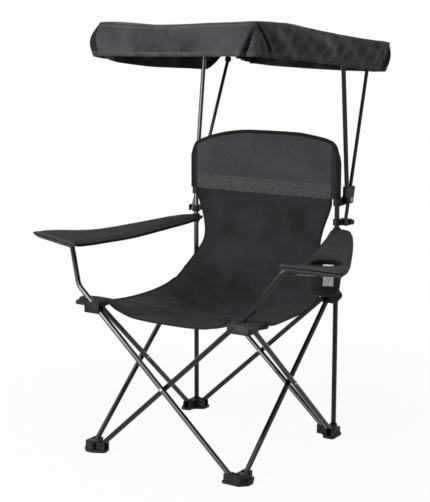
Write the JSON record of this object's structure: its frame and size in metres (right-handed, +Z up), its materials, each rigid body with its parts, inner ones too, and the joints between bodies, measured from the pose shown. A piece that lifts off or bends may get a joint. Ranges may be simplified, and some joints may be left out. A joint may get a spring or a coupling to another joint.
{
  "type": "camping chair",
  "caption": "Folding camping chair with crossed steel tube legs, a sling seat and back, a mesh cup holder in one armrest and a tilting canopy on poles",
  "frame": {"origin": "on the floor, under the middle of the whole chair's box", "axes": "+Z up, the sitter faces -Y, +X is the sitter's left"},
  "size_m": [1.1258, 0.9274, 1.3099],
  "materials": {
    "tube_paint": "satin",
    "moulding": "matte",
    "pole_paint": "satin",
    "rivet_steel": "satin",
    "seat_cloth": "woven",
    "canopy_cloth": "woven",
    "cup_mesh": "open mesh"
  },
  "bodies": {
    "rear_right_post": {"foot_rear_right": "moulding", "foot_rear_right_outer_pin": "rivet_steel", "foot_rear_right_inner_pin": "rivet_steel", "upright_right": "tube_paint", "canopy_clamp_right": "moulding", "canopy_catch_right": "moulding", "canopy_pivot_bolt_right": "rivet_steel", "sling": "seat_cloth"},
    "right_tube_to_front_bracket": {"right_tube_inner": "tube_paint", "right_cross_rivet": "rivet_steel"},
    "right_tube_to_rear_slider": {"right_tube_outer": "tube_paint"},
    "front_right_foot": {"foot_front_right": "moulding", "foot_front_right_outer_pin": "rivet_steel", "foot_front_right_inner_pin": "rivet_steel"},
    "rear_right_slider": {"rear_slider_right": "moulding", "bracket_rear_right_outer_pin": "rivet_steel", "bracket_rear_right_inner_pin": "rivet_steel"},
    "front_right_bracket": {"front_bracket_right": "moulding", "bracket_front_right_outer_pin": "rivet_steel", "bracket_front_right_inner_pin": "rivet_steel"},
    "left_arm": {"arm_tube_left": "tube_paint", "front_cross_rivet": "rivet_steel", "armrest_left": "seat_cloth", "cup_holder": "cup_mesh"},
    "right_arm": {"arm_tube_right": "tube_paint", "armrest_right": "seat_cloth"},
    "front_left_foot": {"foot_front_left": "moulding", "foot_front_left_outer_pin": "rivet_steel", "foot_front_left_inner_pin": "rivet_steel"},
    "front_left_bracket": {"front_bracket_left": "moulding", "bracket_front_left_outer_pin": "rivet_steel", "bracket_front_left_inner_pin": "rivet_steel"},
    "rear_tube_to_left_slider": {"rear_tube_outer": "tube_paint", "rear_cross_rivet": "rivet_steel"},
    "rear_tube_to_right_slider": {"rear_tube_inner": "tube_paint"},
    "rear_left_post": {"foot_rear_left": "moulding", "foot_rear_left_outer_pin": "rivet_steel", "foot_rear_left_inner_pin": "rivet_steel", "upright_left": "tube_paint", "canopy_clamp_left": "moulding", "canopy_catch_left": "moulding", "canopy_pivot_bolt_left": "rivet_steel"},
    "rear_left_slider": {"rear_slider_left": "moulding", "bracket_rear_left_outer_pin": "rivet_steel", "bracket_rear_left_inner_pin": "rivet_steel"},
    "left_tube_to_front_bracket": {"left_tube_outer": "tube_paint", "left_cross_rivet": "rivet_steel"},
    "left_tube_to_rear_slider": {"left_tube_inner": "tube_paint"},
    "canopy_right_frame": {"canopy_hub_right": "moulding", "front_pole_right": "pole_paint", "rear_pole_right": "pole_paint", "canopy_side_rail_right": "moulding", "canopy_cloth": "canopy_cloth"},
    "canopy_left_frame": {"canopy_hub_left": "moulding", "front_pole_left": "pole_paint", "rear_pole_left": "pole_paint", "canopy_side_rail_left": "moulding"},
    "right_knob": {"catch_knob_right": "moulding"},
    "left_knob": {"catch_knob_left": "moulding"}
  },
  "joints": [
    {"name": "fold", "type": "hinge", "parent": "rear_right_post", "child": "right_tube_to_front_bracket", "pos_m": [-0.28681, 0.07625, 0.023], "axis": [-1, 0, 0], "range_deg": [0, 38], "deforming": ["sling", "armrest_left", "armrest_right", "cup_holder", "canopy_cloth"]},
    {"name": "right_cross", "type": "hinge", "parent": "right_tube_to_front_bracket", "child": "right_tube_to_rear_slider", "pos_m": [-0.29531, -0.16275, 0.23875], "axis": [1, 0, 0], "range_deg": [0, 76]},
    {"name": "front_right_foot_pin", "type": "hinge", "parent": "right_tube_to_rear_slider", "child": "front_right_foot", "pos_m": [-0.30381, -0.40175, 0.023], "axis": [-1, 0, 0], "range_deg": [0, 38]},
    {"name": "rear_right_slider_pin", "type": "hinge", "parent": "right_tube_to_rear_slider", "child": "rear_right_slider", "pos_m": [-0.30381, 0.07625, 0.4545], "axis": [-1, 0, 0], "range_deg": [0, 38]},
    {"name": "front_right_bracket_pin", "type": "hinge", "parent": "right_tube_to_front_bracket", "child": "front_right_bracket", "pos_m": [-0.28681, -0.40175, 0.4545], "axis": [1, 0, 0], "range_deg": [0, 38]},
    {"name": "left_arm_foot_pin", "type": "hinge", "parent": "front_right_foot", "child": "left_arm", "pos_m": [-0.25931, -0.42925, 0.023], "axis": [0, -1, 0], "range_deg": [0, 38]},
    {"name": "front_cross", "type": "hinge", "parent": "left_arm", "child": "right_arm", "pos_m": [-0.02031, -0.43775, 0.23875], "axis": [0, 1, 0], "range_deg": [0, 76]},
    {"name": "front_left_foot_pin", "type": "hinge", "parent": "right_arm", "child": "front_left_foot", "pos_m": [0.21869, -0.44625, 0.023], "axis": [0, -1, 0], "range_deg": [0, 38]},
    {"name": "front_left_bracket_pin", "type": "hinge", "parent": "left_arm", "child": "front_left_bracket", "pos_m": [0.21869, -0.42925, 0.4545], "axis": [0, 1, 0], "range_deg": [0, 38]},
    {"name": "rear_foot_pin", "type": "hinge", "parent": "rear_right_post", "child": "rear_tube_to_left_slider", "pos_m": [-0.25931, 0.12075, 0.023], "axis": [0, -1, 0], "range_deg": [0, 38]},
    {"name": "rear_cross", "type": "hinge", "parent": "rear_tube_to_left_slider", "child": "rear_tube_to_right_slider", "pos_m": [-0.02031, 0.11225, 0.23875], "axis": [0, 1, 0], "range_deg": [0, 76]},
    {"name": "rear_left_foot_pin", "type": "hinge", "parent": "rear_tube_to_right_slider", "child": "rear_left_post", "pos_m": [0.21869, 0.10375, 0.023], "axis": [0, -1, 0], "range_deg": [0, 38]},
    {"name": "rear_left_slider_pin", "type": "hinge", "parent": "rear_tube_to_left_slider", "child": "rear_left_slider", "pos_m": [0.21869, 0.12075, 0.4545], "axis": [0, 1, 0], "range_deg": [0, 38]},
    {"name": "left_tube_foot_pin", "type": "hinge", "parent": "rear_left_post", "child": "left_tube_to_front_bracket", "pos_m": [0.26319, 0.07625, 0.023], "axis": [-1, 0, 0], "range_deg": [0, 38]},
    {"name": "left_cross", "type": "hinge", "parent": "left_tube_to_front_bracket", "child": "left_tube_to_rear_slider", "pos_m": [0.25469, -0.16275, 0.23875], "axis": [1, 0, 0], "range_deg": [0, 76]},
    {"name": "canopy_tilt_right", "type": "hinge", "parent": "rear_right_post", "child": "canopy_right_frame", "pos_m": [-0.30681, 0.16375, 0.757], "axis": [-1, 0, 0], "range_deg": [0, 95]},
    {"name": "knob_turn_right", "type": "hinge", "parent": "rear_right_post", "child": "right_knob", "pos_m": [-0.32061, 0.15432, 0.687], "axis": [-1, 0, 0], "range_deg": [-180, 180]},
    {"name": "canopy_tilt_left", "type": "hinge", "parent": "rear_left_post", "child": "canopy_left_frame", "pos_m": [0.26619, 0.16375, 0.757], "axis": [-1, 0, 0], "range_deg": [0, 95]},
    {"name": "knob_turn_left", "type": "hinge", "parent": "rear_left_post", "child": "left_knob", "pos_m": [0.27999, 0.15432, 0.687], "axis": [1, 0, 0], "range_deg": [-180, 180]}
  ],
  "couplings": [
    {"joint": "right_cross", "follows": "fold", "ratio": 2},
    {"joint": "front_right_foot_pin", "follows": "fold", "ratio": 1},
    {"joint": "rear_right_slider_pin", "follows": "fold", "ratio": 1},
    {"joint": "front_right_bracket_pin", "follows": "fold", "ratio": 1},
    {"joint": "left_arm_foot_pin", "follows": "fold", "ratio": 1},
    {"joint": "front_cross", "follows": "fold", "ratio": 2},
    {"joint": "front_left_foot_pin", "follows": "fold", "ratio": 1},
    {"joint": "front_left_bracket_pin", "follows": "fold", "ratio": 1},
    {"joint": "rear_foot_pin", "follows": "fold", "ratio": 1},
    {"joint": "rear_cross", "follows": "fold", "ratio": 2},
    {"joint": "rear_left_foot_pin", "follows": "fold", "ratio": 1},
    {"joint": "rear_left_slider_pin", "follows": "fold", "ratio": 1},
    {"joint": "left_tube_foot_pin", "follows": "fold", "ratio": 1},
    {"joint": "left_cross", "follows": "fold", "ratio": 2},
    {"joint": "canopy_tilt_left", "follows": "canopy_tilt_right", "ratio": 1}
  ]
}
